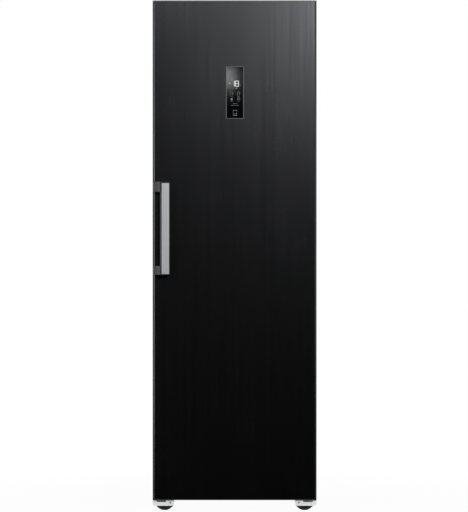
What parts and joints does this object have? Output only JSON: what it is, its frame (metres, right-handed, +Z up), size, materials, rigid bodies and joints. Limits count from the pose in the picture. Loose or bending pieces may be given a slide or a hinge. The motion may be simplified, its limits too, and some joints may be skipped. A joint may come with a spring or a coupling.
{
  "type": "upright freezer",
  "caption": "Tall single-door upright freezer with a black brushed steel door, a side bar handle, a touch display, inner drawers and flaps, and levelling feet.",
  "frame": {"origin": "on the floor, at the middle of the bounding box", "axes": "+X to the right seen from the front, the door faces -Y, +Z up"},
  "size_m": [0.595, 0.688, 1.855],
  "materials": {
    "door_steel": "satin",
    "cabinet_steel": "satin",
    "back_steel": "matte",
    "zinc_steel": "satin",
    "foam": "matte",
    "liner_plastic": "gloss",
    "shelf_glass": "gloss",
    "clear_plastic": "gloss",
    "black_plastic": "matte",
    "grey_plastic": "satin",
    "evaporator_aluminium": "satin",
    "copper": "satin",
    "compressor_enamel": "gloss",
    "foot_rubber": "matte",
    "seal_rubber": "matte",
    "handle_aluminium": "satin",
    "display_glass": "gloss"
  },
  "bodies": {
    "cabinet": {"side_panel_left": "cabinet_steel", "side_panel_right": "cabinet_steel", "top_panel": "cabinet_steel", "back_panel": "back_steel", "main_board_cover": "back_steel", "fan_motor": "back_steel", "base_pan": "zinc_steel", "machine_bay_wall": "zinc_steel", "machine_base": "zinc_steel", "hinge_bracket_top": "zinc_steel", "hinge_pin_top": "zinc_steel", "foot_bracket_left": "zinc_steel", "hinge_bracket_bottom": "zinc_steel", "hinge_pin_bottom": "zinc_steel", "roller_bracket_left": "zinc_steel", "roller_bracket_right": "zinc_steel", "cabinet_foam": "foam", "inner_liner": "liner_plastic", "air_duct_cover": "liner_plastic", "glass_shelf_1": "shelf_glass", "glass_shelf_2": "shelf_glass", "glass_shelf_3": "shelf_glass", "glass_shelf_4": "shelf_glass", "glass_shelf_5": "shelf_glass", "glass_shelf_6": "shelf_glass", "interior_light": "clear_plastic", "compressor_terminal_cover": "black_plastic", "power_cord_gland": "black_plastic", "hinge_cover_top": "black_plastic", "evaporation_tray": "grey_plastic", "evaporator": "evaporator_aluminium", "suction_pipe": "copper", "discharge_pipe": "copper", "filter_drier": "copper", "condenser_coil": "copper", "compressor": "compressor_enamel"},
    "door": {"door_skin": "door_steel", "door_foam": "foam", "door_liner": "liner_plastic", "door_top_cap": "black_plastic", "door_bottom_cap": "black_plastic", "hinge_bush_top": "grey_plastic", "hinge_bush_bottom": "grey_plastic", "door_gasket": "seal_rubber", "handle_body": "grey_plastic", "handle_front_plate": "handle_aluminium", "display_bezel": "grey_plastic", "display_glass": "display_glass"},
    "fan": {"fan_blades": "black_plastic"},
    "left_foot": {"levelling_foot_left": "foot_rubber"},
    "right_foot": {"levelling_foot_right": "foot_rubber"},
    "left_roller": {"rear_roller_left": "black_plastic"},
    "right_roller": {"rear_roller_right": "black_plastic"},
    "drawer_1_body": {"drawer_1": "clear_plastic"},
    "drawer_2_body": {"drawer_2": "clear_plastic"},
    "drawer_3_body": {"drawer_3": "clear_plastic"},
    "drawer_4_body": {"drawer_4": "clear_plastic"},
    "drawer_5_body": {"drawer_5": "clear_plastic"},
    "flap_1_body": {"flap_1": "clear_plastic"},
    "flap_2_body": {"flap_2": "clear_plastic"}
  },
  "joints": [
    {"name": "door_hinge", "type": "hinge", "parent": "cabinet", "child": "door", "pos_m": [0.283, -0.276, 0.038], "axis": [0, 0, 1], "range_deg": [0, 120]},
    {"name": "drawer_1_slide", "type": "slide", "parent": "cabinet", "child": "drawer_1_body", "axis": [0, -1, 0], "range_m": [0, 0.22]},
    {"name": "drawer_2_slide", "type": "slide", "parent": "cabinet", "child": "drawer_2_body", "axis": [0, -1, 0], "range_m": [0, 0.22]},
    {"name": "drawer_3_slide", "type": "slide", "parent": "cabinet", "child": "drawer_3_body", "axis": [0, -1, 0], "range_m": [0, 0.22]},
    {"name": "drawer_4_slide", "type": "slide", "parent": "cabinet", "child": "drawer_4_body", "axis": [0, -1, 0], "range_m": [0, 0.22]},
    {"name": "drawer_5_slide", "type": "slide", "parent": "cabinet", "child": "drawer_5_body", "axis": [0, -1, 0], "range_m": [0, 0.22]},
    {"name": "flap_1_hinge", "type": "hinge", "parent": "cabinet", "child": "flap_1_body", "pos_m": [0, -0.209, 1.766], "axis": [-1, 0, 0], "range_deg": [0, 74.5]},
    {"name": "flap_2_hinge", "type": "hinge", "parent": "cabinet", "child": "flap_2_body", "pos_m": [0, -0.209, 1.53], "axis": [-1, 0, 0], "range_deg": [0, 74.5]},
    {"name": "fan_spin", "type": "hinge", "parent": "cabinet", "child": "fan", "pos_m": [0, 0.237, 0.9], "axis": [0, 1, 0], "continuous": true},
    {"name": "left_foot_turn", "type": "hinge", "parent": "cabinet", "child": "left_foot", "pos_m": [-0.2545, -0.262, 0.018], "axis": [0, 0, 1], "continuous": true},
    {"name": "right_foot_turn", "type": "hinge", "parent": "cabinet", "child": "right_foot", "pos_m": [0.2545, -0.262, 0.018], "axis": [0, 0, 1], "continuous": true},
    {"name": "left_roller_spin", "type": "hinge", "parent": "cabinet", "child": "left_roller", "pos_m": [-0.2425, 0.299, 0.017], "axis": [1, 0, 0], "continuous": true},
    {"name": "right_roller_spin", "type": "hinge", "parent": "cabinet", "child": "right_roller", "pos_m": [0.2425, 0.299, 0.017], "axis": [1, 0, 0], "continuous": true}
  ],
  "couplings": [
    {"joint": "drawer_1_slide", "follows": "door_hinge", "m_per_rad": 0.105},
    {"joint": "drawer_2_slide", "follows": "door_hinge", "m_per_rad": 0.105},
    {"joint": "drawer_3_slide", "follows": "door_hinge", "m_per_rad": 0.105},
    {"joint": "drawer_4_slide", "follows": "door_hinge", "m_per_rad": 0.105},
    {"joint": "drawer_5_slide", "follows": "door_hinge", "m_per_rad": 0.105},
    {"joint": "flap_1_hinge", "follows": "door_hinge", "ratio": 0.62},
    {"joint": "flap_2_hinge", "follows": "door_hinge", "ratio": 0.62}
  ]
}
